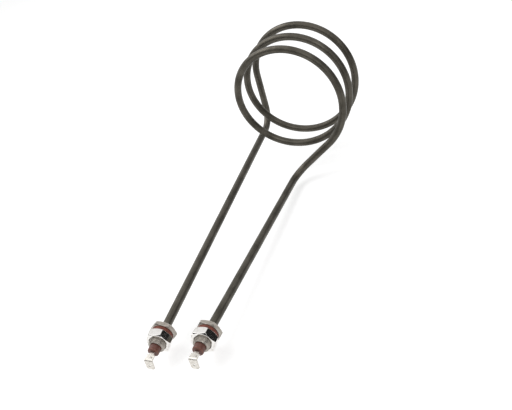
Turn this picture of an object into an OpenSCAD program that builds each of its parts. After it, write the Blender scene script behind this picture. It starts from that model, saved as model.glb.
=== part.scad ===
// Screw-in tubular heating element for a hot drinks dispenser.
// The origin lies midway between the two hex flanges, in the plane where their gaskets
// press against the tank wall. +Y points into the tank along the coil's axis, +Z is up,
// and +X runs from the left fitting to the right one. All sizes are in millimetres.

/* [Coil] */
// Outside diameter of the metal sheath
sheath_d = 6.6; // [5.6:0.1:7.6]
// Wall thickness of the sheath
sheath_wall = 0.7; // [0.5:0.05:0.9]
// Mean diameter of the coil's turns
coil_d = 100; // [80:1:120]
// Advance of the coil along its axis in one turn
coil_pitch = 26; // [16:0.5:32]
// Angle that the coil winds through, in degrees
wound_angle = 949; // [920:1:970]
// Clock position of the coil's start, in degrees from +X towards +Z
start_angle = -57; // [-70:1:-45]
// Distance from the tank wall to the coil's start
coil_start = 212.3; // [150:0.1:260]
// Sideways place of the coil's axis
coil_x = 32.8; // [25:0.1:40]
// Height of the coil's axis above the fittings
coil_z = 57.5; // [50:0.1:70]

/* [Legs] */
// Straight run from the coil's start to the bend of the right leg
right_run = 30; // [24:0.5:36]
// Straight run from the coil's end to the bend of the left leg
left_run = 37; // [30:0.5:44]
// Radius of both bends, at the middle of the tube
bend_r = 16; // [12:0.5:20]
// Distance between the two fittings at the tank wall
fitting_gap = 38; // [30:0.5:50]

/* [Fittings] */
// Width of the hex flange across its flats
flange_af = 17.5; // [16:0.1:20]
// Thickness of the hex flange
flange_t = 3.7; // [2.5:0.1:5]
// Turn of the left flange's corners, in degrees
flange_turn_left = -22; // [-30:1:30]
// Turn of the right flange's corners, in degrees
flange_turn_right = -13; // [-30:1:30]
// Outside diameter of the stub's thread
thread_d = 12; // [11.4:0.1:13]
// Length of the threaded stub from the flange
stub_length = 13; // [12:0.1:16]
// Depth of the pocket in the stub's end that holds the insulator
pocket_depth = 5; // [4:0.1:6]
// Outside diameter of the gasket
gasket_d = 16.4; // [15:0.1:17]
// Thickness of the gasket
gasket_t = 2.8; // [2:0.1:3.4]
// Width of the nut across its flats
nut_af = 17.5; // [16.5:0.1:19]
// Height of the nut
nut_h = 6.6; // [5:0.1:7.4]
// Turn of the left nut's corners, in degrees
nut_turn_left = -6; // [-30:1:30]
// Turn of the right nut's corners, in degrees
nut_turn_right = -2; // [-30:1:30]

/* [Terminals] */
// Diameter of the cold pin
pin_d = 2.4; // [2:0.1:2.8]
// Length of the cold pin inside the tank, measured from the tank wall
cold_length = 55; // [30:1:80]
// Length of the seal in the end of the sheath
seal_length = 4; // [2:0.5:6]
// Outside diameter of the insulator
insulator_d = 8.4; // [7.6:0.1:9]
// How far the insulator stands out of the stub
insulator_out = 4.6; // [2:0.1:8]
// Width of the terminal tab
tab_w = 6.35; // [4.8:0.05:8]
// Thickness of the terminal tab
tab_t = 0.8; // [0.5:0.05:1]
// Length of the tab from the insulator to its fold
tab_reach = 8; // [6.5:0.1:11]
// Length of the tab from its top face down to its tip
tab_drop = 9.4; // [7:0.1:12]
// Diameter of the catch hole in the tab
catch_hole_d = 1.8; // [1.2:0.1:2.4]
// Turn of the left tab about its pin, in degrees
tab_turn_left = -13; // [-30:1:30]
// Turn of the right tab about its pin, in degrees
tab_turn_right = -8; // [-30:1:30]

/* [Hidden] */
$fn = 64;

left = -1;
right = 1;

// Clearances that the pieces share
tube_clearance = 0.05;
powder_clearance = 0.05;
pin_clearance = 0.05;
thread_clearance = 0.05;
seat_clearance = 0.05;
pocket_clearance = 0.1;

// Radii inside the sheath. The powder core and the wire winding have fewer sides,
// and their corners lie on the same radial lines as the sheath's own corners.
sheath_r = sheath_d / 2;
sheath_bore_r = sheath_r - sheath_wall;
core_r = sheath_bore_r - powder_clearance;
core_bore_r = (pin_d / 2 + pin_clearance) / cos(30);
winding_r = core_bore_r - powder_clearance;
sheath_sides = 24;
core_sides = 12;
winding_sides = 6;

// Places along a fitting, measured out of the tank from the flange's gasket face
nut_base = gasket_t + 2 * seat_clearance;
nut_front = nut_base + nut_h;
pocket_floor = stub_length - pocket_depth;
core_end = pocket_floor - seal_length;
insulator_end = stub_length + insulator_out;
fold_end = insulator_end + tab_reach;

// Small details of the turned and pressed pieces
hex_chamfer_land = 0.35;
hex_chamfer_angle = 30;
stub_chamfer = 0.8;
relief_length = 1.4;
relief_depth = 0.6;
nut_countersink = 0.7;
gasket_edge = 0.8;
insulator_edge = 0.7;
tab_fold_r = 0.5;
tab_stand_off = 0.4;
tab_start_gap = 0.4;
neck_w = 3.6;
neck_length = 2.4;
tip_chamfer = 1.3;
catch_hole_from_tip = 3.6;
weld_hole_d = 1.5;
weld_hole_side = 1.7;
pin_end_gap = 0.4;
cut = 1;

// Steps round the coil and round each bend
coil_step = 11.2;
bend_steps = 8;

// Colours as photographed
sheath_colour = [0.33, 0.32, 0.29];
powder_colour = [0.9, 0.89, 0.85];
wire_colour = [0.55, 0.5, 0.46];
pin_colour = [0.6, 0.6, 0.58];
seal_colour = [0.75, 0.3, 0.22];
flange_colour = [0.6, 0.58, 0.55];
gasket_colour = [0.5, 0.27, 0.2];
nut_colour = [0.8, 0.8, 0.8];
insulator_colour = [0.42, 0.26, 0.21];
tab_colour = [0.82, 0.81, 0.78];

function unit(v) = v / norm(v);

// The vector v turned about a unit axis
function turned(v, axis, angle) =
    v * cos(angle) + cross(axis, v) * sin(angle) + axis * (axis * v) * (1 - cos(angle));

function reversed(list) = [for (i = [len(list) - 1:-1:0]) list[i]];

// The coil is a left-handed helix about a line along +Y
coil_r = coil_d / 2;
coil_slope = coil_pitch / (2 * PI);
end_angle = start_angle + wound_angle;

function coil_point(a) = [
    coil_x + coil_r * cos(a),
    coil_start + coil_pitch * (a - start_angle) / 360,
    coil_z + coil_r * sin(a)
];
function coil_heading(a) = unit([-coil_r * sin(a), coil_slope, coil_r * cos(a)]);

// A ring of the tube is its centre and two unit vectors across it
function coil_ring(a) =
    let (out = [cos(a), 0, sin(a)])
    [coil_point(a), out, cross(coil_heading(a), out)];

coil_steps = ceil(wound_angle / coil_step);
coil_rings = [for (i = [0:coil_steps]) coil_ring(start_angle + wound_angle * i / coil_steps)];

function seat_point(side) = [side * fitting_gap / 2, 0, 0];
function run_ring(side) = side == right ? coil_ring(start_angle) : coil_ring(end_angle);
function run_heading(side) = side == right ? -coil_heading(start_angle) : coil_heading(end_angle);
function run_length(side) = side == right ? right_run : left_run;

// The bend starts at the end of the straight run and turns until the leg points at
// its fitting. The plan holds the corner, the side that it turns to, its axis and its angle.
function bend_plan(side) =
    let (
        heading = run_heading(side),
        corner = run_ring(side)[0] + heading * run_length(side),
        gap = seat_point(side) - corner,
        ahead = gap * heading,
        aside = gap - heading * ahead,
        toward = unit(aside),
        reach = norm(aside) - bend_r,
        straight = sqrt(ahead * ahead + reach * reach - bend_r * bend_r),
        angle = atan2(reach, ahead) + atan2(bend_r, straight)
    )
    [corner, toward, cross(heading, toward), angle];

function leg_heading(side) =
    let (plan = bend_plan(side))
    turned(run_heading(side), plan[2], plan[3]);

// Rings round the bend and at the leg's end, which lies `past` beyond the tank wall
function leg_rings(side, past) =
    let (
        plan = bend_plan(side),
        start = run_ring(side),
        heading = run_heading(side),
        bend = [for (i = [0:bend_steps])
            let (a = plan[3] * i / bend_steps)
            [
                plan[0] + bend_r * (heading * sin(a) + plan[1] * (1 - cos(a))),
                turned(start[1], plan[2], a),
                turned(start[2], plan[2], a)
            ]
        ],
        last = bend[bend_steps]
    )
    concat(bend, [[seat_point(side) + leg_heading(side) * past, last[1], last[2]]]);

// The tube's middle line from the right fitting, round the coil, to the left fitting
function tube_rings(past) =
    concat(reversed(leg_rings(right, past)), coil_rings, leg_rings(left, past));

function ring_points(ring, r, sides) = [
    for (k = [0:sides - 1])
        let (a = 360 * k / sides)
        ring[0] + r * (ring[1] * cos(a) + ring[2] * sin(a))
];

// Triangles between neighbouring rings, facing outwards, or inwards for a bore
function wall_faces(ring_count, stride, first, sides, inwards) = [
    for (i = [0:ring_count - 2], k = [0:sides - 1])
        let (
            near = i * stride + first,
            far = near + stride,
            next = (k + 1) % sides
        )
        each inwards
            ? [[near + k, near + next, far + next], [near + k, far + next, far + k]]
            : [[near + k, far + next, near + next], [near + k, far + k, far + next]]
];

// A flat end between an outer outline and a bore with half as many sides
function end_faces(base, sides, flipped) = [
    for (j = [0:sides / 2 - 1])
        let (
            o0 = base + 2 * j,
            o1 = o0 + 1,
            o2 = base + (2 * j + 2) % sides,
            i0 = base + sides + j,
            i1 = base + sides + (j + 1) % (sides / 2)
        )
        each flipped
            ? [[o0, i0, o1], [o1, i1, o2], [o1, i0, i1]]
            : [[o0, o1, i0], [o1, o2, i1], [o1, i1, i0]]
];

// A tube swept along rings. Its bore has half as many sides as its outside.
module swept_tube(rings, outer_r, bore_r, sides) {
    stride = sides * 3 / 2;
    count = len(rings);
    polyhedron(
        points = [for (ring = rings)
            each concat(ring_points(ring, outer_r, sides), ring_points(ring, bore_r, sides / 2))],
        faces = concat(
            wall_faces(count, stride, 0, sides, false),
            wall_faces(count, stride, sides, sides / 2, true),
            end_faces(0, sides, false),
            end_faces((count - 1) * stride, sides, true)
        ),
        convexity = 10
    );
}

// A solid rod swept along rings
module swept_rod(rings, r, sides) {
    count = len(rings);
    last = (count - 1) * sides;
    polyhedron(
        points = [for (ring = rings) each ring_points(ring, r, sides)],
        faces = concat(
            wall_faces(count, sides, 0, sides, false),
            [[for (k = [0:sides - 1]) k]],
            [[for (k = [sides - 1:-1:0]) last + k]]
        ),
        convexity = 10
    );
}

// Puts a piece on a fitting: z runs out of the tank along the leg, x stays level
module at_fitting(side) {
    z = leg_heading(side);
    x = unit([1, 0, 0] - z * z[0]);
    y = cross(z, x);
    p = seat_point(side);
    multmatrix([
        [x[0], y[0], z[0], p[0]],
        [x[1], y[1], z[1], p[1]],
        [x[2], y[2], z[2], p[2]],
        [0, 0, 0, 1]
    ])
        children();
}

// A hexagon bar whose corners are chamfered by a cone at each end
module hex_bar(af, height, turn) {
    corner_r = af / 2 / cos(30);
    land_r = af / 2 - hex_chamfer_land;
    rim_r = corner_r + cut;
    fall = (rim_r - land_r) * tan(hex_chamfer_angle);
    intersection() {
        rotate([0, 0, turn])
            linear_extrude(height)
                circle(r = corner_r, $fn = 6);
        rotate_extrude()
            polygon([
                [0, 0], [land_r, 0], [rim_r, fall],
                [rim_r, height - fall], [land_r, height], [0, height]
            ]);
    }
}

module sheath() {
    color(sheath_colour)
        swept_tube(tube_rings(pocket_floor), sheath_r, sheath_bore_r, sheath_sides);
}

module insulation_core() {
    color(powder_colour)
        swept_tube(tube_rings(core_end), core_r, core_bore_r, core_sides);
}

module resistance_coil() {
    color(wire_colour)
        swept_rod(tube_rings(-cold_length), winding_r, winding_sides);
}

// The pin's outer end has a flat, where the tab is welded on
module terminal_pin(side, turn) {
    flat_start = insulator_end + tab_start_gap / 2;
    pin_end = fold_end - tab_t - tab_fold_r - pin_end_gap;
    color(pin_colour)
        at_fitting(side)
            difference() {
                translate([0, 0, -cold_length])
                    cylinder(h = cold_length + pin_end, d = pin_d);
                rotate([0, 0, turn])
                    translate([-pin_d, tab_stand_off, flat_start])
                        cube([2 * pin_d, pin_d, pin_end]);
            }
}

module end_seal(side) {
    seal_r = core_r * cos(180 / core_sides);
    color(seal_colour)
        at_fitting(side)
            translate([0, 0, core_end])
                difference() {
                    cylinder(h = seal_length, r = seal_r);
                    translate([0, 0, -cut])
                        cylinder(h = seal_length + 2 * cut, d = pin_d + 2 * pin_clearance);
                }
}

// Half section of the threaded stub, with a relief groove and a chamfered end
module stub_profile() {
    thread_r = thread_d / 2;
    relief_r = thread_r - relief_depth;
    polygon([
        [0, -flange_t / 2],
        [relief_r, -flange_t / 2],
        [relief_r, relief_length],
        [thread_r, relief_length + relief_depth],
        [thread_r, stub_length - stub_chamfer],
        [thread_r - stub_chamfer, stub_length],
        [0, stub_length]
    ]);
}

module bushing(side, turn) {
    bore_d = sheath_d + 2 * tube_clearance;
    pocket_d = insulator_d + 2 * pocket_clearance;
    color(flange_colour)
        at_fitting(side)
            difference() {
                union() {
                    translate([0, 0, -flange_t])
                        hex_bar(flange_af, flange_t, turn);
                    rotate_extrude()
                        stub_profile();
                }
                translate([0, 0, -flange_t - cut])
                    cylinder(h = flange_t + stub_length + 2 * cut, d = bore_d);
                translate([0, 0, pocket_floor])
                    cylinder(h = pocket_depth + cut, d = pocket_d);
            }
}

// A ring with rounded outer edges
module gasket(side) {
    inner_r = thread_d / 2 + thread_clearance;
    outer_r = gasket_d / 2;
    color(gasket_colour)
        at_fitting(side)
            translate([0, 0, seat_clearance])
                rotate_extrude() {
                    translate([inner_r, 0])
                        square([outer_r - gasket_edge - inner_r, gasket_t]);
                    translate([inner_r, gasket_edge])
                        square([outer_r - inner_r, gasket_t - 2 * gasket_edge]);
                    for (height = [gasket_edge, gasket_t - gasket_edge])
                        translate([outer_r - gasket_edge, height])
                            circle(r = gasket_edge);
                }
}

module nut(side, turn) {
    bore_r = thread_d / 2 + thread_clearance;
    mouth_r = bore_r + nut_countersink;
    color(nut_colour)
        at_fitting(side)
            translate([0, 0, nut_base])
                difference() {
                    hex_bar(nut_af, nut_h, turn);
                    rotate_extrude()
                        polygon([
                            [0, -cut], [mouth_r + cut, -cut], [bore_r, nut_countersink],
                            [bore_r, nut_h - nut_countersink], [mouth_r + cut, nut_h + cut], [0, nut_h + cut]
                        ]);
                }
}

// A bush with a rounded outer end, seated on the floor of the stub's pocket
module insulator(side) {
    outer_r = insulator_d / 2;
    bore_r = pin_d / 2 + pin_clearance;
    length = insulator_end - pocket_floor;
    color(insulator_colour)
        at_fitting(side)
            translate([0, 0, pocket_floor])
                rotate_extrude() {
                    translate([bore_r, 0])
                        square([outer_r - insulator_edge - bore_r, length]);
                    translate([bore_r, 0])
                        square([outer_r - bore_r, length - insulator_edge]);
                    translate([outer_r - insulator_edge, length - insulator_edge])
                        circle(r = insulator_edge);
                }
}

// Side view of the tab: x runs out of the tank and y up
module tab_profile(start) {
    fold_centre = fold_end - tab_t - tab_fold_r;
    tip = tab_stand_off + tab_t - tab_drop;
    translate([start, tab_stand_off])
        square([fold_centre - start, tab_t]);
    translate([fold_centre, tab_stand_off - tab_fold_r])
        intersection() {
            difference() {
                circle(r = tab_fold_r + tab_t);
                circle(r = tab_fold_r);
            }
            square(tab_fold_r + tab_t + cut);
        }
    translate([fold_end - tab_t, tip])
        square([tab_t, tab_stand_off - tab_fold_r - tip]);
}

// A push-on tab with a narrow neck, a weld hole, a catch hole and a chamfered tip
module tab(side, turn) {
    start = insulator_end + tab_start_gap;
    tip = tab_stand_off + tab_t - tab_drop;
    notch_w = (tab_w - neck_w) / 2;
    flat_middle = (start + neck_length + fold_end - tab_fold_r - tab_t) / 2;
    color(tab_colour)
        at_fitting(side)
            rotate([0, 0, turn])
                difference() {
                    rotate([0, -90, 0])
                        linear_extrude(tab_w, center = true)
                            tab_profile(start);
                    for (edge = [left, right]) {
                        translate([edge * (neck_w + notch_w + cut) / 2, tab_stand_off, start])
                            cube([notch_w + cut, 4 * tab_t, 2 * neck_length], center = true);
                        translate([edge * tab_w / 2, tip, fold_end])
                            rotate([0, 0, 45])
                                cube([tip_chamfer * sqrt(2), tip_chamfer * sqrt(2), 4 * tab_t], center = true);
                    }
                    translate([weld_hole_side, 0, flat_middle])
                        rotate([90, 0, 0])
                            cylinder(h = 4 * pin_d, d = weld_hole_d, center = true);
                    translate([0, tip + catch_hole_from_tip, fold_end])
                        cylinder(h = 4 * tab_t, d = catch_hole_d, center = true);
                }
}

sheath();
insulation_core();
resistance_coil();
terminal_pin(left, tab_turn_left);  // terminal_pin_left
terminal_pin(right, tab_turn_right);  // terminal_pin_right
end_seal(left);  // end_seal_left
end_seal(right);  // end_seal_right
bushing(left, flange_turn_left);  // bushing_left
bushing(right, flange_turn_right);  // bushing_right
gasket(left);  // gasket_left
gasket(right);  // gasket_right
nut(left, nut_turn_left);  // nut_left
nut(right, nut_turn_right);  // nut_right
insulator(left);  // insulator_left
insulator(right);  // insulator_right
tab(left, tab_turn_left);  // tab_left
tab(right, tab_turn_right);  // tab_right
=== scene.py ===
import bpy
import numpy as np
from mathutils import Matrix, Vector


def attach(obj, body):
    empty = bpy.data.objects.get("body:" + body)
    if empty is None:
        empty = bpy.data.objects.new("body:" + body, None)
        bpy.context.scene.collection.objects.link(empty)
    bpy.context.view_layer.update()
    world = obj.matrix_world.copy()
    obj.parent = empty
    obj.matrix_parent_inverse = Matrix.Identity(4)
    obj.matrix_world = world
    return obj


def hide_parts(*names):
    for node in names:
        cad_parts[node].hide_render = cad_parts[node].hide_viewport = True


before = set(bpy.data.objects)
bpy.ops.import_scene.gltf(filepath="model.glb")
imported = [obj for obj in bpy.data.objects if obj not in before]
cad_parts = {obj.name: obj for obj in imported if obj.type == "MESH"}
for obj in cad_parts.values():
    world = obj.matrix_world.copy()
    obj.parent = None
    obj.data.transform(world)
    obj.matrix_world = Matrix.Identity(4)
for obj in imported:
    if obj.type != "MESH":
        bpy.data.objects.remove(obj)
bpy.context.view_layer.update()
print("frame loaded,", len(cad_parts), "nodes")

mm = 0.001


# Vectors

def unit(v):
    return v / np.linalg.norm(v, axis=-1, keepdims=True)


# Each vector turned about one axis by each angle: v cos + (axis x v) sin + axis (axis . v)(1 - cos)
def turned(v, axis, angles):
    c = np.cos(angles)[..., None]
    s = np.sin(angles)[..., None]
    return v * c + np.cross(axis, v) * s + axis * np.dot(v, axis) * (1 - c)


# The tube's middle line, from the same sizes as the solids, in millimetres

tubePath = {
    "coilRadius": 50,
    "pitch": 26,
    "woundAngle": 949,
    "startAngle": -57,
    "coilX": 32.8,
    "coilStart": 212.3,
    "coilZ": 57.5,
    "rightRun": 30,
    "leftRun": 37,
    "bendRadius": 16,
    "fittingGap": 38,
    "degreesPerRing": 2.5,
}


# A circle of the coil's radius that advances along Y by one pitch in each turn
def coilPoint(angle):
    p = tubePath
    a = np.radians(angle)
    return np.stack([
        p["coilX"] + p["coilRadius"] * np.cos(a),
        p["coilStart"] + p["pitch"] * (angle - p["startAngle"]) / 360,
        p["coilZ"] + p["coilRadius"] * np.sin(a),
    ], axis=-1)


def coilHeading(angle):
    a = np.radians(angle)
    slope = np.full_like(a, tubePath["pitch"] / (2 * np.pi * tubePath["coilRadius"]))
    return unit(np.stack([-np.sin(a), slope, np.cos(a)], axis=-1))


# Rings of the tube: middle points and two unit vectors across
def coilRings(angle):
    a = np.radians(angle)
    out = np.stack([np.cos(a), np.zeros_like(a), np.sin(a)], axis=-1)
    return coilPoint(angle), out, np.cross(coilHeading(angle), out)


# A leg leaves the coil straight, turns in one arc and runs straight to its fitting
def legRings(side, past):
    p = tubePath
    angle = np.array([p["startAngle"] + (p["woundAngle"] if side < 0 else 0.0)])
    start, out, across = (v[0] for v in coilRings(angle))
    heading = -side * coilHeading(angle)[0]
    corner = start + heading * p["rightRun" if side > 0 else "leftRun"]
    seat = np.array([side * p["fittingGap"] / 2, 0, 0])
    gap = seat - corner
    ahead = gap @ heading
    aside = gap - heading * ahead
    toward = unit(aside)
    reach = np.linalg.norm(aside) - p["bendRadius"]
    straight = np.sqrt(ahead ** 2 + reach ** 2 - p["bendRadius"] ** 2)
    bend = np.arctan2(reach, ahead) + np.arctan2(p["bendRadius"], straight)
    axis = np.cross(heading, toward)
    legHeading = turned(heading, axis, np.array([bend]))[0]
    run = np.linspace(0, 1, 9)[1:-1, None] * (corner - start) + start
    arc = np.linspace(0, bend, 37)
    s, c = np.sin(arc)[:, None], np.cos(arc)[:, None]
    curve = corner + p["bendRadius"] * (heading * s + toward * (1 - c))
    leg = np.linspace(0, 1, 41)[1:, None] * (seat + legHeading * past - curve[-1]) + curve[-1]
    middle = np.concatenate([run, curve, leg])
    turns = np.concatenate([np.zeros(len(run)), arc, np.full(len(leg), bend)])
    return middle, turned(out, axis, turns), turned(across, axis, turns), legHeading, seat


def tubeRings(past):
    p = tubePath
    count = int(p["woundAngle"] / p["degreesPerRing"]) + 1
    coil = coilRings(p["startAngle"] + np.linspace(0, p["woundAngle"], count))
    right = legRings(1, past)
    left = legRings(-1, past)
    return [np.concatenate([right[i][::-1], coil[i], left[i]]) for i in range(3)]


# A fitting's own frame: z out of the tank along its leg, x level, y up
def fittingFrame(side):
    z, seat = legRings(side, 0)[3:]
    x = unit(np.array([1.0, 0, 0]) - z * z[0])
    return seat, x, np.cross(z, x), z


def placed(local, side):
    seat, x, y, z = fittingFrame(side)
    return seat + local[..., :1] * x + local[..., 1:2] * y + local[..., 2:] * z


# Meshes from grids of points

def signedVolume(points, quads):
    a, b, c, d = (points[quads[:, i]] for i in range(4))
    first = np.einsum("ij,ij->i", a, np.cross(b, c))
    second = np.einsum("ij,ij->i", a, np.cross(c, d))
    return (first.sum() + second.sum()) / 6


def fillMesh(mesh, points, quads):
    mesh.vertices.add(len(points))
    mesh.vertices.foreach_set("co", points.astype(np.float32).ravel())
    mesh.loops.add(quads.size)
    mesh.loops.foreach_set("vertex_index", quads.astype(np.int32).ravel())
    mesh.polygons.add(len(quads))
    mesh.polygons.foreach_set("loop_start", np.arange(0, quads.size, 4, dtype=np.int32))
    mesh.polygons.foreach_set("use_smooth", np.ones(len(quads), dtype=bool))
    mesh.update(calc_edges=True)
    mesh.validate()


# Attribute "local" holds each point in the piece's own straight frame, and "edge" is 1 on rounded edges
def addAttributes(mesh, local, edge):
    place = mesh.attributes.new("local", "FLOAT_VECTOR", "POINT")
    place.data.foreach_set("vector", local.astype(np.float32).ravel())
    wearAndHighlight = mesh.attributes.new("edge", "FLOAT", "POINT")
    wearAndHighlight.data.foreach_set("value", edge.astype(np.float32).ravel())


def makePiece(name, mesh, material, nodes):
    piece = bpy.data.objects.new(name, mesh)
    bpy.context.scene.collection.objects.link(piece)
    mesh.materials.append(material)
    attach(piece, "root")
    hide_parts(*nodes)
    return piece


# A grid that closes on itself both ways: rows run round the section, columns round the axis
def closedGrid(name, points, local, edge):
    rows, columns = points.shape[:2]
    i, j = np.meshgrid(np.arange(rows), np.arange(columns), indexing="ij")
    nextI, nextJ = (i + 1) % rows, (j + 1) % columns
    corners = [(i, j), (nextI, j), (nextI, nextJ), (i, nextJ)]
    quads = np.stack([(a * columns + b).ravel() for a, b in corners], axis=1)
    flat = points.reshape(-1, 3) * mm
    if signedVolume(flat, quads) < 0:
        quads = quads[:, ::-1]
    mesh = bpy.data.meshes.new(name)
    fillMesh(mesh, flat, quads)
    addAttributes(mesh, local.reshape(-1, 3) * mm, edge.ravel())
    return mesh


# Half section with each corner rounded: a short curve from a point before the corner to one after it,
# (1-t)^2 before + 2t(1-t) corner + t^2 after. Radii and heights are corner by column.
def roundedSection(radii, heights, rounds, steps=5):
    p = np.stack(np.broadcast_arrays(radii, heights), axis=-1).astype(float)
    back = np.roll(p, 1, axis=0) - p
    ahead = np.roll(p, -1, axis=0) - p
    backLength = np.linalg.norm(back, axis=-1, keepdims=True)
    aheadLength = np.linalg.norm(ahead, axis=-1, keepdims=True)
    size = np.asarray(rounds, dtype=float)[:, None, None]
    cutBack = np.minimum(size, 0.45 * backLength)
    cutAhead = np.minimum(size, 0.45 * aheadLength)
    before = p + back / backLength * cutBack
    after = p + ahead / aheadLength * cutAhead
    t = np.linspace(0, 1, steps)[None, :, None, None]
    curve = (1 - t) ** 2 * before[:, None] + 2 * t * (1 - t) * p[:, None] + t ** 2 * after[:, None]
    wearAndHighlight = np.broadcast_to((4 * t * (1 - t))[..., 0], curve.shape[:3])
    return curve, wearAndHighlight


# Columns round a hexagon, closer together at its corners, and its radius there with rounded corners:
# a flat is inradius / cos(angle from its middle), a corner is an arc about a point inside it
def hexColumns(acrossFlats, turn, cornerRound, flatSteps=10, cornerSteps=6):
    inner = acrossFlats / 2
    flatHalf = np.arctan((inner - cornerRound) * np.tan(np.pi / 6) / inner)
    cornerHalf = np.pi / 6 - flatHalf
    fromFlat = np.linspace(-flatHalf, flatHalf, flatSteps)
    fromCorner = np.linspace(-cornerHalf, cornerHalf, cornerSteps)[1:-1]
    arcMiddle = (inner - cornerRound) / np.cos(np.pi / 6)
    flatRadius = inner / np.cos(fromFlat)
    cornerRadius = arcMiddle * np.cos(fromCorner) + np.sqrt(
        cornerRound ** 2 - (arcMiddle * np.sin(fromCorner)) ** 2)
    oneAngle = np.concatenate([fromFlat + np.pi / 6, fromCorner + np.pi / 3])
    oneRadius = np.concatenate([flatRadius, cornerRadius])
    oneWorn = np.concatenate([np.zeros(flatSteps), np.ones(cornerSteps - 2)])
    sides = np.arange(6)[:, None] * np.pi / 3
    angles = (sides + oneAngle + np.radians(turn)).ravel()
    return angles, np.tile(oneRadius, 6), np.tile(oneWorn, 6)


def spun(radii, heights, angles):
    return np.stack([radii * np.cos(angles), radii * np.sin(angles), heights + 0 * angles], axis=-1)


def addModifiers(piece, bevelWidth=0):
    if bevelWidth:
        bevel = piece.modifiers.new("edges", "BEVEL")
        bevel.width = bevelWidth * mm
        bevel.segments = 3
        bevel.limit_method = "ANGLE"
        bevel.angle_limit = np.radians(50)
    weighted = piece.modifiers.new("flats", "WEIGHTED_NORMAL")
    weighted.weight = 80


# Shader building

def linear(red, green, blue):
    value = np.array([red, green, blue]) / 255
    value = np.where(value <= 0.04045, value / 12.92, ((value + 0.055) / 1.055) ** 2.4)
    return (*(float(v) for v in value), 1)


def addNode(tree, kind, **settings):
    node = tree.nodes.new(kind)
    for key, value in settings.items():
        if hasattr(node, key):
            setattr(node, key, value)
        else:
            node.inputs[key.replace("_", " ")].default_value = value
    return node


def blend(tree, factor, first, second):
    node = addNode(tree, "ShaderNodeMix", data_type="RGBA")
    tree.links.new(factor, node.inputs[0])
    for socket, value in ((node.inputs[6], first), (node.inputs[7], second)):
        if isinstance(value, tuple):
            socket.default_value = value
        else:
            tree.links.new(value, socket)
    return node.outputs[2]


def spread(tree, value, low, high, fromLow=0.0, fromHigh=1.0):
    node = addNode(tree, "ShaderNodeMapRange")
    tree.links.new(value, node.inputs[0])
    for index, number in enumerate((fromLow, fromHigh, low, high)):
        node.inputs[index + 1].default_value = number
    return node.outputs[0]


def newGroup(name, inputs, outputs):
    group = bpy.data.node_groups.new(name, "ShaderNodeTree")
    for label, kind, value in inputs:
        socket = group.interface.new_socket(label, in_out="INPUT", socket_type=kind)
        if value is not None:
            socket.default_value = value
    for label in outputs:
        group.interface.new_socket(label, in_out="OUTPUT", socket_type="NodeSocketFloat")
    return group, group.nodes.new("NodeGroupInput"), group.nodes.new("NodeGroupOutput")


# Cloudy patches: coarse noise with a finer layer on it
def makeMottle():
    group, given, result = newGroup("mottle", [
        ("Place", "NodeSocketVector", None),
        ("Scale", "NodeSocketFloat", 100.0),
        ("Low", "NodeSocketFloat", 0.35),
        ("High", "NodeSocketFloat", 0.65),
    ], ["Mask"])
    noise = addNode(group, "ShaderNodeTexNoise", Detail=5.0, Roughness=0.6)
    group.links.new(given.outputs["Place"], noise.inputs["Vector"])
    group.links.new(given.outputs["Scale"], noise.inputs["Scale"])
    limits = addNode(group, "ShaderNodeMapRange")
    group.links.new(noise.outputs[0], limits.inputs[0])
    group.links.new(given.outputs["Low"], limits.inputs[1])
    group.links.new(given.outputs["High"], limits.inputs[2])
    group.links.new(limits.outputs[0], result.inputs["Mask"])
    return group


# Fine lines: noise squeezed across the direction of the work and drawn out along it
def makeLines():
    group, given, result = newGroup("workLines", [
        ("Place", "NodeSocketVector", None),
        ("Stretch", "NodeSocketVector", None),
    ], ["Mask"])
    scaled = addNode(group, "ShaderNodeVectorMath", operation="MULTIPLY")
    group.links.new(given.outputs["Place"], scaled.inputs[0])
    group.links.new(given.outputs["Stretch"], scaled.inputs[1])
    noise = addNode(group, "ShaderNodeTexNoise", Scale=1.0, Detail=3.0, Roughness=0.55)
    group.links.new(scaled.outputs[0], noise.inputs["Vector"])
    group.links.new(noise.outputs[0], result.inputs["Mask"])
    return group


# Wear on rounded edges, and on gaskets and insulators a painted highlight along their rounded rims, broken
# up by noise
def makeEdgeWearAndHighlight():
    group, given, result = newGroup("edgeWearAndHighlight", [
        ("Place", "NodeSocketVector", None),
        ("Edge", "NodeSocketFloat", 0.0),
        ("Scale", "NodeSocketFloat", 900.0),
    ], ["Mask"])
    noise = addNode(group, "ShaderNodeTexNoise", Detail=4.0)
    group.links.new(given.outputs["Place"], noise.inputs["Vector"])
    group.links.new(given.outputs["Scale"], noise.inputs["Scale"])
    broken = addNode(group, "ShaderNodeMapRange")
    broken.inputs[1].default_value = 0.35
    broken.inputs[2].default_value = 0.6
    group.links.new(noise.outputs[0], broken.inputs[0])
    both = addNode(group, "ShaderNodeMath", operation="MULTIPLY", use_clamp=True)
    group.links.new(given.outputs["Edge"], both.inputs[0])
    group.links.new(broken.outputs[0], both.inputs[1])
    group.links.new(both.outputs[0], result.inputs["Mask"])
    return group


# Turned marks: rings about the piece's own axis, from its distance to that axis
def makeTurnedMarks():
    group, given, result = newGroup("turnedMarks", [
        ("Place", "NodeSocketVector", None),
        ("Per metre", "NodeSocketFloat", 4000.0),
    ], ["Mask"])
    flat = addNode(group, "ShaderNodeVectorMath", operation="MULTIPLY")
    flat.inputs[1].default_value = (1, 1, 0)
    group.links.new(given.outputs["Place"], flat.inputs[0])
    distance = addNode(group, "ShaderNodeVectorMath", operation="LENGTH")
    group.links.new(flat.outputs[0], distance.inputs[0])
    scaled = addNode(group, "ShaderNodeMath", operation="MULTIPLY")
    group.links.new(distance.outputs["Value"], scaled.inputs[0])
    group.links.new(given.outputs["Per metre"], scaled.inputs[1])
    noise = addNode(group, "ShaderNodeTexNoise", noise_dimensions="1D", Scale=1.0, Detail=2.0)
    group.links.new(scaled.outputs[0], noise.inputs["W"])
    group.links.new(noise.outputs[0], result.inputs["Mask"])
    return group


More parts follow.
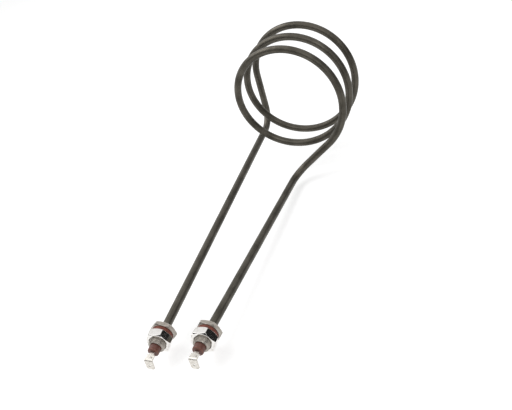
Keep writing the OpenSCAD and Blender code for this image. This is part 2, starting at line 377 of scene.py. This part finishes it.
mottle = makeMottle()
workLines = makeLines()
edgeWearAndHighlight = makeEdgeWearAndHighlight()
turnedMarks = makeTurnedMarks()


def useGroup(tree, group, place, **values):
    node = tree.nodes.new("ShaderNodeGroup")
    node.node_tree = group
    tree.links.new(place, node.inputs["Place"])
    for key, value in values.items():
        socket = node.inputs[key.replace("_", " ")]
        if isinstance(value, bpy.types.NodeSocket):
            tree.links.new(value, socket)
        else:
            socket.default_value = value
    return node.outputs["Mask"]


# A new material, its tree, its Principled shader and the place that its patterns follow
def newMaterial(name, ownPlace=True, **values):
    material = bpy.data.materials.new(name)
    material.use_nodes = True
    tree = material.node_tree
    shader = tree.nodes["Principled BSDF"]
    for key, value in values.items():
        shader.inputs[key.replace("_", " ")].default_value = value
    if ownPlace:
        place = addNode(tree, "ShaderNodeAttribute", attribute_name="local").outputs["Vector"]
        edge = addNode(tree, "ShaderNodeAttribute", attribute_name="edge").outputs["Fac"]
    else:
        place = tree.nodes.new("ShaderNodeTexCoord").outputs["Object"]
        edge = None
    return material, tree, shader, place, edge


def addBump(tree, shader, height, strength, distance):
    bump = addNode(tree, "ShaderNodeBump", Strength=strength, Distance=distance * mm)
    tree.links.new(height, bump.inputs["Height"])
    tree.links.new(bump.outputs[0], shader.inputs["Normal"])


# Sheath: dull, dark, annealed alloy with drawn lines along the tube

sheathFinish = {
    "dark": linear(64, 61, 54),
    "main": linear(92, 88, 80),
    "light": linear(118, 113, 104),
    "roughLow": 0.36,
    "roughHigh": 0.5,
    "metallic": 0.85,
}


def makeSheathMetal():
    f = sheathFinish
    material, tree, shader, place = newMaterial("sheathMetal", Metallic=f["metallic"])[:4]
    patches = useGroup(tree, mottle, place, Scale=55.0, Low=0.36, High=0.66)
    grain = useGroup(tree, mottle, place, Scale=1300.0, Low=0.4, High=0.7)
    lines = useGroup(tree, workLines, place, Stretch=(60.0, 2600.0, 2600.0))
    base = blend(tree, patches, f["main"], f["dark"])
    streak = spread(tree, lines, 0.0, 0.5, 0.5, 0.75)
    base = blend(tree, streak, base, f["light"])
    speck = spread(tree, grain, 0.0, 0.4, 0.5, 1.0)
    base = blend(tree, speck, base, f["dark"])
    tree.links.new(base, shader.inputs["Base Color"])
    tree.links.new(spread(tree, patches, f["roughLow"], f["roughHigh"]), shader.inputs["Roughness"])
    addBump(tree, shader, lines, 0.25, 0.04)
    return material


# Flanges: turned and dulled steel

flangeFinish = {
    "main": linear(176, 170, 162),
    "dull": linear(140, 134, 126),
    "wearAndHighlight": linear(214, 210, 204),
    "roughLow": 0.28,
    "roughHigh": 0.42,
}


def makeFlangeMetal():
    f = flangeFinish
    material, tree, shader, place, edge = newMaterial("flangeMetal", Metallic=1.0)
    patches = useGroup(tree, mottle, place, Scale=260.0, Low=0.35, High=0.7)
    rings = useGroup(tree, turnedMarks, place, Per_metre=5200.0)
    wearAndHighlight = useGroup(tree, edgeWearAndHighlight, place, Edge=edge, Scale=1200.0)
    base = blend(tree, patches, f["main"], f["dull"])
    base = blend(tree, wearAndHighlight, base, f["wearAndHighlight"])
    tree.links.new(base, shader.inputs["Base Color"])
    tree.links.new(spread(tree, rings, f["roughLow"], f["roughHigh"], 0.3, 0.7), shader.inputs["Roughness"])
    addBump(tree, shader, rings, 0.25, 0.02)
    return material


# Nuts: bright nickel plate

nutFinish = {
    "main": linear(232, 230, 227),
    "dull": linear(200, 197, 192),
    "roughLow": 0.06,
    "roughHigh": 0.16,
}


def makePlatedNut():
    f = nutFinish
    material, tree, shader, place = newMaterial("platedNut", Metallic=1.0)[:4]
    patches = useGroup(tree, mottle, place, Scale=420.0, Low=0.45, High=0.75)
    rings = useGroup(tree, turnedMarks, place, Per_metre=4200.0)
    base = blend(tree, patches, f["main"], f["dull"])
    tree.links.new(base, shader.inputs["Base Color"])
    tree.links.new(spread(tree, patches, f["roughLow"], f["roughHigh"]), shader.inputs["Roughness"])
    addBump(tree, shader, rings, 0.18, 0.02)
    return material


# Gaskets: red-brown fibre, with paler fibre streaks and a painted highlight in the pale colour on their
# rounded rims

gasketFinish = {
    "main": linear(128, 66, 50),
    "dark": linear(92, 44, 34),
    "paleAndHighlight": linear(176, 112, 92),
}


def makeGasketFibre():
    f = gasketFinish
    material, tree, shader, place, edge = newMaterial("gasketFibre", Roughness=0.62)
    patches = useGroup(tree, mottle, place, Scale=500.0, Low=0.35, High=0.68)
    fibres = useGroup(tree, workLines, place, Stretch=(2400.0, 2400.0, 700.0))
    wearAndHighlight = useGroup(tree, edgeWearAndHighlight, place, Edge=edge, Scale=700.0)
    base = blend(tree, patches, f["main"], f["dark"])
    base = blend(tree, spread(tree, fibres, 0.0, 0.45, 0.5, 0.8), base, f["paleAndHighlight"])
    # the rounded rims get the pale colour as a painted highlight
    base = blend(tree, spread(tree, wearAndHighlight, 0.0, 0.5), base, f["paleAndHighlight"])
    tree.links.new(base, shader.inputs["Base Color"])
    addBump(tree, shader, fibres, 0.4, 0.06)
    return material


# Insulators: red-brown moulded resin, with a painted highlight in a paler colour on their rounded rims

insulatorFinish = {
    "main": linear(116, 70, 57),
    "dark": linear(88, 50, 42),
    "paleAndHighlight": linear(158, 104, 86),
}


def makeInsulatorResin():
    f = insulatorFinish
    material, tree, shader, place, edge = newMaterial("insulatorResin", Roughness=0.42)
    patches = useGroup(tree, mottle, place, Scale=330.0, Low=0.38, High=0.7)
    grain = useGroup(tree, mottle, place, Scale=2600.0, Low=0.4, High=0.7)
    wearAndHighlight = useGroup(tree, edgeWearAndHighlight, place, Edge=edge, Scale=800.0)
    base = blend(tree, patches, f["main"], f["dark"])
    # the rounded rims get the pale colour as a painted highlight
    base = blend(tree, spread(tree, wearAndHighlight, 0.0, 0.55), base, f["paleAndHighlight"])
    tree.links.new(base, shader.inputs["Base Color"])
    tree.links.new(spread(tree, grain, 0.36, 0.52), shader.inputs["Roughness"])
    addBump(tree, shader, grain, 0.2, 0.03)
    return material


# Tabs: tinned steel, cut from rolled strip

tabFinish = {
    "main": linear(222, 218, 211),
    "dull": linear(186, 181, 173),
    "bright": linear(240, 238, 234),
    "roughLow": 0.2,
    "roughHigh": 0.34,
}


def makeTabMetal():
    f = tabFinish
    material, tree, shader, place, edge = newMaterial("tabMetal", Metallic=1.0)
    patches = useGroup(tree, mottle, place, Scale=380.0, Low=0.4, High=0.7)
    lines = useGroup(tree, workLines, place, Stretch=(3200.0, 90.0, 3200.0))
    wearAndHighlight = useGroup(tree, edgeWearAndHighlight, place, Edge=edge, Scale=1000.0)
    base = blend(tree, patches, f["main"], f["dull"])
    base = blend(tree, spread(tree, wearAndHighlight, 0.0, 0.7), base, f["bright"])
    tree.links.new(base, shader.inputs["Base Color"])
    tree.links.new(spread(tree, lines, f["roughLow"], f["roughHigh"], 0.3, 0.7), shader.inputs["Roughness"])
    addBump(tree, shader, lines, 0.2, 0.02)
    return material


# The other finishes follow Object coordinates on the solids themselves

innerFinishes = {
    "pinSteel": {
        "main": (176, 173, 168),
        "dark": (130, 127, 121),
        "rough": (0.3, 0.45),
        "metal": 1.0,
        "scale": 600.0,
    },
    "powder": {
        "main": (236, 233, 225),
        "dark": (210, 205, 194),
        "rough": (0.8, 0.95),
        "metal": 0.0,
        "scale": 900.0,
    },
    "wire": {
        "main": (150, 140, 130),
        "dark": (104, 96, 88),
        "rough": (0.35, 0.5),
        "metal": 1.0,
        "scale": 700.0,
    },
    "seal": {
        "main": (196, 84, 62),
        "dark": (166, 66, 50),
        "rough": (0.4, 0.55),
        "metal": 0.0,
        "scale": 500.0,
    },
}


def makeInner(name):
    f = innerFinishes[name]
    material, tree, shader, place = newMaterial(name, ownPlace=False, Metallic=f["metal"])[:4]
    patches = useGroup(tree, mottle, place, Scale=f["scale"], Low=0.38, High=0.68)
    grain = useGroup(tree, mottle, place, Scale=f["scale"] * 5, Low=0.4, High=0.7)
    tree.links.new(blend(tree, patches, linear(*f["main"]), linear(*f["dark"])), shader.inputs["Base Color"])
    tree.links.new(spread(tree, grain, *f["rough"]), shader.inputs["Roughness"])
    addBump(tree, shader, grain, 0.2, 0.03)
    return material


sheathMetal = makeSheathMetal()
flangeMetal = makeFlangeMetal()
platedNut = makePlatedNut()
gasketFibre = makeGasketFibre()
insulatorResin = makeInsulatorResin()
tabMetal = makeTabMetal()
inner = {name: makeInner(name) for name in innerFinishes}
print("materials made")


# Sheath: a round wall carried along the middle line, outside one way and the bore back again

sheathTube = {
    "diameter": 6.6,
    "wall": 0.7,
    "past": 8,
    "sides": 56,
    "endRound": 0.15,
    "boreEvery": 3,
}


def makeSheath():
    s = sheathTube
    middle, out, across = tubeRings(s["past"])
    steps = np.linalg.norm(np.diff(middle, axis=0), axis=1)
    along = np.concatenate([[0], np.cumsum(steps)])
    radius = s["diameter"] / 2
    back = slice(None, None, -s["boreEvery"])
    order = np.concatenate([np.arange(len(middle)), np.arange(len(middle))[back]])
    radii = np.concatenate([np.full(len(middle), radius), np.full(len(middle[back]), radius - s["wall"])])
    radii[[0, len(middle) - 1]] -= s["endRound"]
    radii = radii[:, None, None]
    angle = np.linspace(0, 2 * np.pi, s["sides"], endpoint=False)[None, :, None]
    points = middle[order][:, None] + radii * (
        out[order][:, None] * np.cos(angle) + across[order][:, None] * np.sin(angle))
    length = np.broadcast_to(along[order][:, None, None], points.shape[:2] + (1,))
    local = np.concatenate([length, radii * np.cos(angle), radii * np.sin(angle)], axis=-1)
    mesh = closedGrid("sheathTube", points, local, np.zeros(points.shape[:2]))
    makePiece("sheath_tube", mesh, sheathMetal, ["sheath"])


# Bushings: a hex flange and a threaded stub in one piece

bushing = {
    "acrossFlats": 17.5,
    "thickness": 3.7,
    "turn": {-1: -22, 1: -13},
    "threadDiameter": 12,
    "threadPitch": 1.0,
    "threadDepth": 0.55,
    "threadCrest": 0.22,
    "stubLength": 13,
    "stubChamfer": 0.8,
    "reliefLength": 1.4,
    "reliefDepth": 0.6,
    "boreDiameter": 6.7,
    "pocketDiameter": 8.6,
    "pocketFloor": 8,
    "chamferLand": 0.35,
    "chamferAngle": 30,
    "cornerRound": 0.3,
    "rowsPerPitch": 12,
}


# Height that a hexagon's chamfer cone has fallen by where it meets the flat or corner at that radius
def chamferFall(radius, acrossFlats, land, angle):
    return (radius - acrossFlats / 2 + land) * np.tan(np.radians(angle))


# The thread's groove is a V that goes once round in each pitch, with a narrow flat crest
def threadRadius(angles, heights):
    b = bushing
    crest = b["threadCrest"]
    phase = (heights / b["threadPitch"] + angles / (2 * np.pi)) % 1
    groove = np.clip((1 - np.abs(2 * phase - 1) - crest) / (1 - crest), 0, 1)
    crestRadius = b["threadDiameter"] / 2
    radius = crestRadius - b["threadDepth"] * groove
    start = crestRadius - b["reliefDepth"] + (heights - b["reliefLength"])
    end = crestRadius - (heights - b["stubLength"] + b["stubChamfer"])
    return np.minimum(radius, np.minimum(start, end))


def makeBushing(side, label):
    b = bushing
    angles, hexRadius, hexWorn = hexColumns(b["acrossFlats"], b["turn"][side], b["cornerRound"])
    one = np.ones_like(angles)
    fall = chamferFall(hexRadius, b["acrossFlats"], b["chamferLand"], b["chamferAngle"])
    landRadius = b["acrossFlats"] / 2 - b["chamferLand"]
    relief = b["threadDiameter"] / 2 - b["reliefDepth"]
    mouth = b["threadDiameter"] / 2 - b["stubChamfer"]
    bore, pocket = b["boreDiameter"] / 2, b["pocketDiameter"] / 2
    radii = [bore, landRadius, hexRadius, hexRadius, landRadius, relief, relief, mouth, pocket, pocket, bore]
    heights = [
        -b["thickness"], -b["thickness"], fall - b["thickness"], -fall, 0, 0, b["reliefLength"],
        b["stubLength"], b["stubLength"], b["pocketFloor"], b["pocketFloor"],
    ]
    rounds = [0.15, 0.35, 0.15, 0.15, 0.35, 0.1, 0.05, 0.08, 0.1, 0.1, 0.1]
    section, wearAndHighlight = roundedSection(
        np.array([one * v for v in radii]), np.array([one * v for v in heights]), rounds)
    count = int((b["stubLength"] - b["reliefLength"]) / b["threadPitch"] * b["rowsPerPitch"])
    threadHeights = np.linspace(b["reliefLength"] + 0.05, b["stubLength"] - 0.08, count)[:, None] * one
    threadRows = np.stack([threadRadius(angles, threadHeights), threadHeights], axis=-1)
    before, after = section[:7].reshape(-1, len(angles), 2), section[7:].reshape(-1, len(angles), 2)
    rows = np.concatenate([before, threadRows, after])
    edge = np.concatenate([
        wearAndHighlight[:7].reshape(-1, len(angles)), np.zeros(threadHeights.shape), wearAndHighlight[7:].reshape(-1, len(angles))])
    onSide = (rows[..., 0] > hexRadius - 0.4) & (rows[..., 1] < 0)
    edge = np.maximum(edge, onSide * hexWorn)
    local = spun(rows[..., 0], rows[..., 1], angles)
    mesh = closedGrid("bushing" + label, placed(local, side), local, edge)
    name = "bushing_" + label
    addModifiers(makePiece(name + "_turned", mesh, flangeMetal, [name]))


# Nuts: a hexagon chamfered on both faces and countersunk at both mouths

nut = {
    "acrossFlats": 17.5,
    "height": 6.6,
    "base": 2.9,
    "turn": {-1: -6, 1: -2},
    "boreDiameter": 12.1,
    "countersink": 0.7,
    "chamferLand": 0.35,
    "chamferAngle": 30,
    "cornerRound": 0.35,
}


def makeNut(side, label):
    n = nut
    angles, hexRadius, hexWorn = hexColumns(n["acrossFlats"], n["turn"][side], n["cornerRound"], 14, 7)
    one = np.ones_like(angles)
    fall = chamferFall(hexRadius, n["acrossFlats"], n["chamferLand"], n["chamferAngle"])
    land = n["acrossFlats"] / 2 - n["chamferLand"]
    bore = n["boreDiameter"] / 2
    mouth = bore + n["countersink"]
    radii = [bore, mouth, land, hexRadius, hexRadius, land, mouth, bore]
    top = n["height"]
    heights = [n["countersink"], 0, 0, fall, top - fall, top, top, top - n["countersink"]]
    rounds = [0.1, 0.1, 0.5, 0.16, 0.16, 0.5, 0.1, 0.1]
    section, wearAndHighlight = roundedSection(
        np.array([one * v for v in radii]), np.array([one * v for v in heights]), rounds)
    rows = section.reshape(-1, len(angles), 2)
    local = spun(rows[..., 0], rows[..., 1] + n["base"], angles)
    edge = wearAndHighlight.reshape(-1, len(angles))
    mesh = closedGrid("nut" + label, placed(local, side), local, edge)
    name = "nut_" + label
    addModifiers(makePiece(name + "_plated", mesh, platedNut, [name]))


# Gaskets and insulators are plain rings with rounded edges

gasket = {
    "innerRadius": 6.05,
    "outerRadius": 8.2,
    "base": 0.05,
    "thickness": 2.8,
    "rounds": [0.12, 0.8, 0.8, 0.12],
}

insulator = {
    "innerRadius": 1.25,
    "outerRadius": 4.2,
    "base": 8,
    "thickness": 9.6,
    "rounds": [0.1, 0.15, 0.75, 0.2],
}


def makeRing(sizes, side, columns=96, steps=9):
    angles = np.linspace(0, 2 * np.pi, columns, endpoint=False)
    one = np.ones_like(angles)
    inner, outer = sizes["innerRadius"], sizes["outerRadius"]
    low, high = sizes["base"], sizes["base"] + sizes["thickness"]
    section, wearAndHighlight = roundedSection(
        np.array([one * v for v in (inner, outer, outer, inner)]),
        np.array([one * v for v in (low, low, high, high)]), sizes["rounds"], steps)
    rows = section.reshape(-1, columns, 2)
    local = spun(rows[..., 0], rows[..., 1], angles)
    return local, wearAndHighlight.reshape(-1, columns)


def makeGasket(side, label):
    local, edge = makeRing(gasket, side)
    mesh = closedGrid("gasket" + label, placed(local, side), local, edge)
    addModifiers(makePiece("gasket_" + label + "_fibre", mesh, gasketFibre, ["gasket_" + label]))


def makeInsulator(side, label):
    local, edge = makeRing(insulator, side)
    mesh = closedGrid("insulator" + label, placed(local, side), local, edge)
    addModifiers(makePiece(
        "insulator_" + label + "_moulded", mesh, insulatorResin, ["insulator_" + label]))


# Tabs: strip that is cut out flat, folded once and given its thickness

tab = {
    "width": 6.35,
    "thickness": 0.8,
    "start": 18.0,
    "foldEnd": 25.6,
    "standOff": 0.4,
    "foldRadius": 0.5,
    "drop": 9.4,
    "neckWidth": 3.6,
    "neckLength": 2.4,
    "tipChamfer": 1.3,
    "catchHole": 1.8,
    "catchFromTip": 3.6,
    "weldHole": 1.5,
    "weldAside": 1.7,
    "turn": {-1: -13, 1: -8},
}


# Ring of quads between a hole's circle and an outline round it: (1-v) circle + v outline, at equal angles
def holePatch(centre, radius, outline, rows=5):
    away = outline - centre
    circle = centre + radius * unit(away)
    v = np.linspace(0, 1, rows)[:, None, None]
    return (1 - v) * circle + v * outline


# Points along straight sides between corners, each side cut into its own number of steps
def sidePoints(corners, steps):
    parts = []
    for start, end, count in zip(corners, corners[1:] + corners[:1], steps):
        t = np.linspace(0, 1, count, endpoint=False)[:, None]
        parts.append(np.array(start) * (1 - t) + np.array(end) * t)
    return np.concatenate(parts)


def gridQuads(rows, columns, wrap, first):
    i, j = np.meshgrid(np.arange(rows - 1), np.arange(columns if wrap else columns - 1), indexing="ij")
    k = (j + 1) % columns
    corners = [(i, j), (i + 1, j), (i + 1, k), (i, k)]
    return first + np.stack([(a * columns + b).ravel() for a, b in corners], axis=1)


# The strip's middle sheet, flat: x across it and y along it from the insulator to the tip
def flatTab():
    t = tab
    half, neck = t["width"] / 2, t["neckWidth"] / 2
    bend = t["foldRadius"] + t["thickness"] / 2
    flatEnd = t["foldEnd"] - t["thickness"] - t["foldRadius"] - t["start"]
    arcEnd = flatEnd + bend * np.pi / 2
    leaf = t["drop"] - t["thickness"] - t["foldRadius"]
    tip = arcEnd + leaf
    across = 12
    holeAt = np.array([t["weldAside"], (t["neckLength"] + flatEnd) / 2])
    catchAt = np.array([0, tip - t["catchFromTip"]])
    neckSide = np.linspace(-neck, neck, across + 1)
    neckRows = np.stack(np.meshgrid(neckSide, np.linspace(0, t["neckLength"], 5)), axis=-1)
    pad = sidePoints(
        [(-half, t["neckLength"]), (-neck, t["neckLength"]), (neck, t["neckLength"]),
         (half, t["neckLength"]), (half, flatEnd), (-half, flatEnd)],
        [3, across, 3, 8, across, 8])
    foldRows = np.stack(np.meshgrid(
        np.linspace(-half, half, across + 1), np.linspace(flatEnd, arcEnd, 9)), axis=-1)
    c = t["tipChamfer"]
    leafEdge = sidePoints(
        [(-half, arcEnd), (half, arcEnd), (half, tip - c),
         (half - c, tip), (-half + c, tip), (-half, tip - c)],
        [across, 10, 5, 8, 5, 10])
    return [
        (neckRows, False), (holePatch(holeAt, t["weldHole"] / 2, pad), True),
        (foldRows, False), (holePatch(catchAt, t["catchHole"] / 2, leafEdge), True),
    ], flatEnd, arcEnd


# The flat sheet folded: straight out, a quarter turn about the fold's middle, then straight down
def foldedTab(flat, flatEnd, arcEnd):
    t = tab
    bend = t["foldRadius"] + t["thickness"] / 2
    along = flat[:, 1]
    angle = np.clip((along - flatEnd) / bend, 0, np.pi / 2)
    past = np.clip(along - arcEnd, 0, None)
    out = t["start"] + np.minimum(along, flatEnd) + bend * np.sin(angle)
    up = t["standOff"] + t["thickness"] / 2 - bend * (1 - np.cos(angle)) - past
    return np.stack([flat[:, 0], up, out], axis=-1)


def makeTab(side, label):
    patches, flatEnd, arcEnd = flatTab()
    points, quads, count = [], [], 0
    for grid, wrap in patches:
        quads.append(gridQuads(*grid.shape[:2], wrap, count))
        points.append(grid.reshape(-1, 2))
        count += len(points[-1])
    flat, quads = np.concatenate(points), np.concatenate(quads)
    # every face of the flat sheet turns the same way
    a, b, c, d = (flat[quads[:, i]] for i in range(4))
    area = np.cross(c - a, d - b)
    quads = np.where(area[:, None] > 0, quads[:, ::-1], quads)
    straight = foldedTab(flat, flatEnd, arcEnd)
    turn = np.radians(tab["turn"][side])
    x, y, z = straight.T
    local = np.stack([x * np.cos(turn) - y * np.sin(turn), x * np.sin(turn) + y * np.cos(turn), z], axis=-1)
    mesh = bpy.data.meshes.new("tab" + label)
    fillMesh(mesh, placed(local, side) * mm, quads)
    addAttributes(mesh, np.concatenate([flat, 0 * flat[:, :1]], axis=1) * mm, np.zeros(len(flat)))
    name = "tab_" + label
    piece = makePiece(name + "_strip", mesh, tabMetal, [name])
    weld = piece.modifiers.new("seams", "WELD")
    weld.merge_threshold = 0.01 * mm
    solid = piece.modifiers.new("thickness", "SOLIDIFY")
    solid.thickness = tab["thickness"] * mm
    solid.offset = 0
    addModifiers(piece, 0.1)


makeSheath()
print("sheath made")
for side, label in ((-1, "left"), (1, "right")):
    makeBushing(side, label)
    makeGasket(side, label)
    makeNut(side, label)
    makeInsulator(side, label)
    makeTab(side, label)
    print(label, "fitting made")

# The solids that stay get their finish by slot
kept = {
    "terminal_pin_left": "pinSteel",
    "terminal_pin_right": "pinSteel",
    "insulation_core": "powder",
    "resistance_coil": "wire",
    "end_seal_left": "seal",
    "end_seal_right": "seal",
}
for nodeName, finish in kept.items():
    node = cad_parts[nodeName]
    for materialSlot in node.material_slots:
        materialSlot.material = inner[finish]
print("kept solids finished")


# Camera, floor and light

shot = {
    "place": (262.9, -273.2, 285.8),
    "azimuth": 31.507,
    "elevation": 29.892,
    "roll": -23.133,
    "lens": 46.35,
}


def addCamera():
    data = bpy.data.cameras.new("camera")
    data.lens = shot["lens"]
    data.sensor_width = 36
    data.clip_start = 0.01
    data.clip_end = 20
    camera = bpy.data.objects.new("camera", data)
    bpy.context.scene.collection.objects.link(camera)
    azimuth, elevation, roll = (np.radians(shot[k]) for k in ("azimuth", "elevation", "roll"))
    ahead = Vector((
        -np.sin(azimuth) * np.cos(elevation), np.cos(azimuth) * np.cos(elevation), -np.sin(elevation)))
    level = ahead.cross(Vector((0, 0, 1))).normalized()
    up = level.cross(ahead)
    right = level * np.cos(roll) + up * np.sin(roll)
    turn = Matrix((right, right.cross(ahead), -ahead)).transposed().to_4x4()
    camera.matrix_world = Matrix.Translation(Vector(shot["place"]) * mm) @ turn
    bpy.context.scene.camera = camera


stage = {
    "floorHeight": -16,
    "floorSize": 9,
    "floorColour": 0.8,
    "cameraGlow": 0.5,
    "worldStrength": 0.55,
}


# White wherever the camera or a reflection looks, plain light for everything else
def addWorld():
    world = bpy.data.worlds.new("studio")
    bpy.context.scene.world = world
    world.use_nodes = True
    tree = world.node_tree
    paths = tree.nodes.new("ShaderNodeLightPath")
    seen = addNode(tree, "ShaderNodeMath", operation="MAXIMUM")
    both = addNode(tree, "ShaderNodeMath", operation="MAXIMUM")
    tree.links.new(paths.outputs["Is Camera Ray"], seen.inputs[0])
    tree.links.new(paths.outputs["Is Glossy Ray"], seen.inputs[1])
    tree.links.new(seen.outputs[0], both.inputs[0])
    tree.links.new(paths.outputs["Is Transmission Ray"], both.inputs[1])
    background = tree.nodes["Background"]
    background.inputs["Color"].default_value = (1, 1, 1, 1)
    strength = spread(tree, both.outputs[0], stage["worldStrength"], 1.0)
    tree.links.new(strength, background.inputs["Strength"])


def flatSheet(name, corners, material):
    mesh = bpy.data.meshes.new(name)
    mesh.from_pydata(corners, [], [(0, 1, 2, 3)])
    sheet = bpy.data.objects.new(name, mesh)
    bpy.context.scene.collection.objects.link(sheet)
    mesh.materials.append(material)
    return sheet


def addFloor():
    material = bpy.data.materials.new("floorPaper")
    material.use_nodes = True
    tree = material.node_tree
    shader = tree.nodes["Principled BSDF"]
    shader.inputs["Base Color"].default_value = (*(stage["floorColour"],) * 3, 1)
    shader.inputs["Roughness"].default_value = 1
    shader.inputs["Specular IOR Level"].default_value = 0
    shader.inputs["Emission Color"].default_value = (1, 1, 1, 1)
    paths = tree.nodes.new("ShaderNodeLightPath")
    seen = addNode(tree, "ShaderNodeMath", operation="MAXIMUM")
    tree.links.new(paths.outputs["Is Camera Ray"], seen.inputs[0])
    tree.links.new(paths.outputs["Is Glossy Ray"], seen.inputs[1])
    glow = spread(tree, seen.outputs[0], 0.0, stage["cameraGlow"])
    tree.links.new(glow, shader.inputs["Emission Strength"])
    half = stage["floorSize"] / 2
    z = stage["floorHeight"] * mm
    flatSheet("floor", [(-half, -half, z), (half, -half, z), (half, half, z), (-half, half, z)], material)


# Area lamps aimed at the part: place in metres, width, height, power in watts
lamps = {
    "key": ((-0.9, 0.2, 1.3), 1.1, 1.1, 9.0),
    "fill": ((0.7, -1.0, 0.9), 0.9, 0.9, 3.5),
}


def addLamps():
    target = Vector((0.025, 0.13, 0.04))
    for name, (place, width, height, power) in lamps.items():
        data = bpy.data.lights.new(name, "AREA")
        data.shape = "RECTANGLE"
        data.size = width
        data.size_y = height
        data.energy = power
        lamp = bpy.data.objects.new(name, data)
        lamp.location = place
        lamp.rotation_euler = (target - Vector(place)).to_track_quat("-Z", "Y").to_euler()
        bpy.context.scene.collection.objects.link(lamp)


# Dark cards that only reflections see, as studio metal is shot: corners from azimuth and height
cards = {
    "right": {"from": -60, "to": 62, "low": -0.02, "high": 0.62, "distance": 1.6},
    "front": {"from": 205, "to": 292, "low": 0.0, "high": 0.75, "distance": 1.6},
}


def addCards():
    material = bpy.data.materials.new("darkCard")
    material.use_nodes = True
    shader = material.node_tree.nodes["Principled BSDF"]
    shader.inputs["Base Color"].default_value = (0.012, 0.012, 0.012, 1)
    shader.inputs["Roughness"].default_value = 1
    count = 13
    for name, c in cards.items():
        angles = np.radians(np.linspace(c["from"], c["to"], count))
        ring = np.stack([np.cos(angles), np.sin(angles)], axis=1) * c["distance"]
        low = np.column_stack([ring, np.full(count, c["low"])])
        high = np.column_stack([ring, np.full(count, c["high"])])
        mesh = bpy.data.meshes.new(name)
        faces = [(i, i + 1, i + count + 1, i + count) for i in range(count - 1)]
        mesh.from_pydata(np.concatenate([low, high]).tolist(), [], faces)
        card = bpy.data.objects.new("card_" + name, mesh)
        bpy.context.scene.collection.objects.link(card)
        mesh.materials.append(material)
        card.visible_camera = False
        card.visible_diffuse = False
        card.visible_shadow = False


addCamera()
addWorld()
addFloor()
addLamps()
addCards()
bpy.context.scene.view_settings.view_transform = "Standard"
print("stage made")
